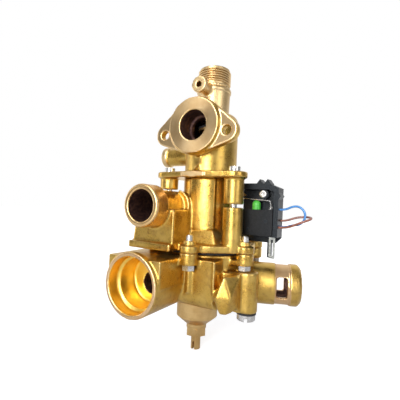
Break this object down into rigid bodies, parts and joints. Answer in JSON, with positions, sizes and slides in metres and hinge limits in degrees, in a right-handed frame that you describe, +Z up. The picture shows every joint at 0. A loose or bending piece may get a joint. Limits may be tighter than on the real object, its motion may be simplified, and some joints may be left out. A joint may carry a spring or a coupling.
{
  "type": "diverter valve",
  "caption": "Brass diverter valve of a combination boiler: three stacked castings, a rubber diaphragm that lifts two valve discs, and a lever that works a microswitch.",
  "frame": {"origin": "centre of the round bore in the bolted flange, on the flange's machined face", "axes": "+Z up along the valve's main axis, which stands 31 mm behind the flange face; -Y out of the flange, the stub and the cup; -X towards the small side port"},
  "size_m": [0.1244, 0.1125, 0.2195],
  "materials": {
    "cast_brass": "sand cast, satin",
    "machined_brass": "turned, satin",
    "zinc_steel": "zinc plated",
    "stainless_steel": "bright",
    "black_rubber": "matt",
    "black_plastic": "moulded, satin",
    "green_plastic": "moulded",
    "blue_insulation": "extruded",
    "brown_insulation": "extruded"
  },
  "bodies": {
    "housing": {"adjusting_spindle_seal": "black_rubber", "blue_wire": "blue_insulation", "body_seal": "black_rubber", "bottom_cap": "machined_brass", "bracket_screw": "zinc_steel", "brown_wire": "brown_insulation", "cap_seal": "black_rubber", "diaphragm": "black_rubber", "diaphragm_clamp_screws": "zinc_steel", "gland_nut": "machined_brass", "lever_pin": "stainless_steel", "lower_body": "cast_brass", "lower_gland_bush": "machined_brass", "lower_gland_seal": "black_rubber", "lower_valve_seat": "machined_brass", "middle_body": "cast_brass", "plug_screw": "zinc_steel", "plug_washer": "black_rubber", "retainer_ring": "stainless_steel", "return_spring": "stainless_steel", "spring_retainer": "stainless_steel", "switch_bracket": "black_plastic", "switch_case": "black_plastic", "switch_screw": "zinc_steel", "terminal": "zinc_steel", "upper_body": "cast_brass", "upper_flange_screws": "zinc_steel", "upper_gland_bush": "machined_brass", "upper_gland_seal": "black_rubber"},
    "spindle": {"diaphragm_upper_plate": "stainless_steel", "diaphragm_lower_plate": "stainless_steel", "diaphragm_nut": "machined_brass", "diaphragm_spindle": "machined_brass", "drive_collar": "machined_brass", "valve_spindle": "machined_brass", "lower_valve_rubber": "black_rubber", "lower_valve_disc": "machined_brass", "disc_spacer": "machined_brass", "upper_valve_disc": "machined_brass", "upper_valve_rubber": "black_rubber", "spring_cup": "machined_brass", "spindle_nut": "machined_brass"},
    "lever": {"actuating_lever": "stainless_steel"},
    "blade": {"switch_blade": "stainless_steel"},
    "plunger": {"switch_plunger": "green_plastic"},
    "adjuster": {"adjusting_spindle": "machined_brass"}
  },
  "joints": [
    {"name": "spindle_lift", "type": "slide", "parent": "housing", "child": "spindle", "axis": [0, 0, 1], "range_m": [0, 0.004], "stiffness_N_per_m": 1600, "springref_m": -0.006, "deforming": ["diaphragm", "return_spring"]},
    {"name": "lever_tip", "type": "hinge", "parent": "housing", "child": "lever", "pos_m": [0.0225, 0.031, -0.0486], "axis": [0, 1, 0], "range_deg": [0, 13.1]},
    {"name": "blade_press", "type": "hinge", "parent": "housing", "child": "blade", "pos_m": [0.0512, 0.0336, -0.0582], "axis": [0, -1, 0], "range_deg": [0, 3.25]},
    {"name": "plunger_press", "type": "slide", "parent": "housing", "child": "plunger", "axis": [0, 0, -1], "range_m": [0, 0.00068]},
    {"name": "adjuster_turn", "type": "hinge", "parent": "housing", "child": "adjuster", "pos_m": [0, 0.019, -0.1422], "axis": [0, 0, 1], "range_deg": [-360, 360]}
  ],
  "couplings": [
    {"joint": "lever_tip", "follows": "spindle_lift", "rad_per_m": 57},
    {"joint": "blade_press", "follows": "spindle_lift", "rad_per_m": 14},
    {"joint": "plunger_press", "follows": "spindle_lift", "ratio": 0.165}
  ]
}
